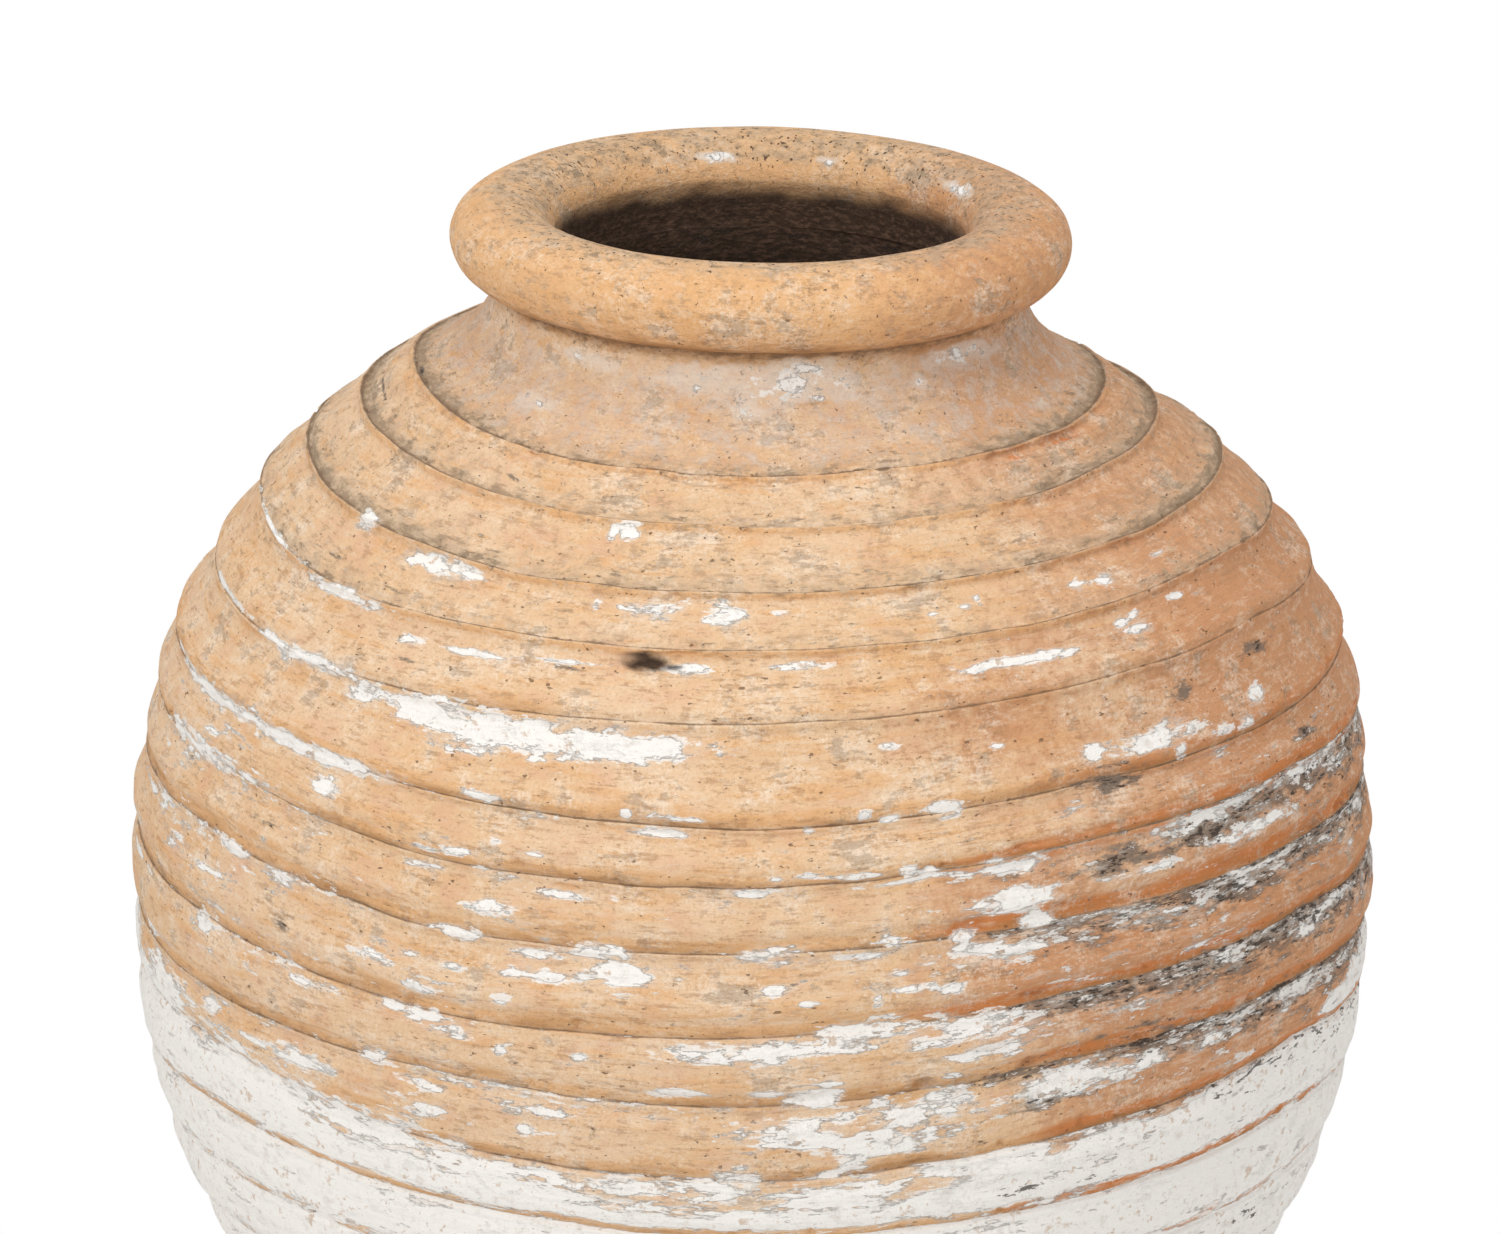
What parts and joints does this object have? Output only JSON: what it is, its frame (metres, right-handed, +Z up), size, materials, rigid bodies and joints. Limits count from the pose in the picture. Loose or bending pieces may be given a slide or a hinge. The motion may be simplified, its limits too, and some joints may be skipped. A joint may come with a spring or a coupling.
{
  "type": "ribbed storage jar",
  "caption": "Big-bellied terracotta oil jar with level ribs, a short hollow-sided neck, a thick rolled rim and a narrow flat base.",
  "frame": {"origin": "middle of the underside of the base", "axes": "+Z up along the jar's axis, +Y away from the pictured side, +X to its right"},
  "size_m": [0.704, 0.704, 0.905],
  "materials": {
    "terracotta": "unglazed, wiped, weathered, with worn flakes of lime wash",
    "limewashed_terracotta": "unglazed, under a peeling coat of white lime wash"
  },
  "bodies": {
    "root": {"rolled_rim": "terracotta", "neck_collar": "terracotta", "shoulder_cone": "terracotta", "upper_shoulder": "terracotta", "lower_shoulder": "terracotta", "belly": "terracotta", "lower_belly": "limewashed_terracotta", "lower_wall": "limewashed_terracotta", "foot_wall": "limewashed_terracotta", "base_disc": "limewashed_terracotta"}
  },
  "joints": []
}
